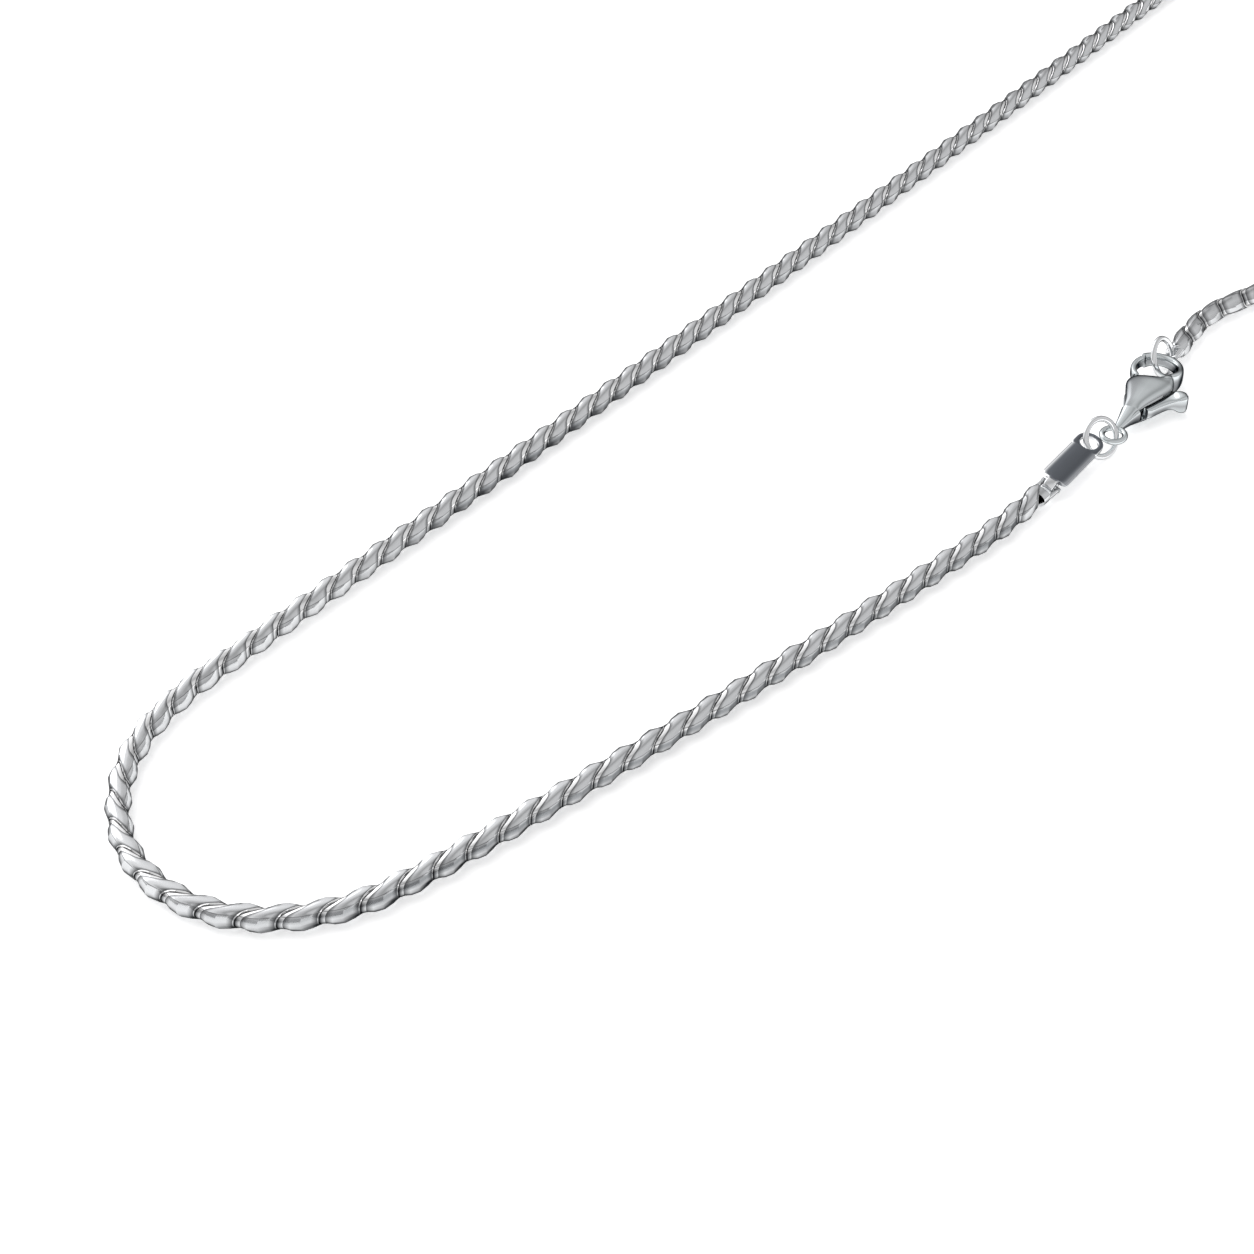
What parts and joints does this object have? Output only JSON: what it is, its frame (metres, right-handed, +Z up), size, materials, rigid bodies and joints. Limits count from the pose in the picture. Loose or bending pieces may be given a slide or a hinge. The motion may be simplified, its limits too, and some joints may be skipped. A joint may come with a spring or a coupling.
{
  "type": "snake bone chain necklace",
  "caption": "Slim neck chain of closely set slanted bone-shaped links, closed by a lobster clasp through an end ring, with a jump ring and a small flat end tag",
  "frame": {"origin": "centre of the loop's box, on the surface that the necklace lies on", "axes": "+Z up from that surface, +X along the loop's length towards its hidden far bend, +Y from the clasp's run towards the other run"},
  "size_m": [0.2066, 0.0462, 0.0027],
  "materials": {
    "chain_silver": "polished silver",
    "tag_silver": "polished silver, darker in reflection",
    "ring_silver": "polished silver",
    "clasp_silver": "polished silver"
  },
  "bodies": {
    "necklace": {"chain_start": "chain_silver", "chain_finish": "chain_silver", "ring_end_link": "chain_silver", "tag_end_link": "chain_silver", "end_tag": "tag_silver", "jump_ring": "ring_silver", "clasp_body": "clasp_silver", "end_ring": "ring_silver"},
    "trigger": {"clasp_trigger": "clasp_silver"}
  },
  "joints": [
    {"name": "trigger_turn", "type": "hinge", "parent": "necklace", "child": "trigger", "pos_m": [-0.02976, -0.01386, 0.00105], "axis": [0, 0, 1], "range_deg": [-15, 0], "stiffness_Nm_per_rad": 0.002}
  ]
}
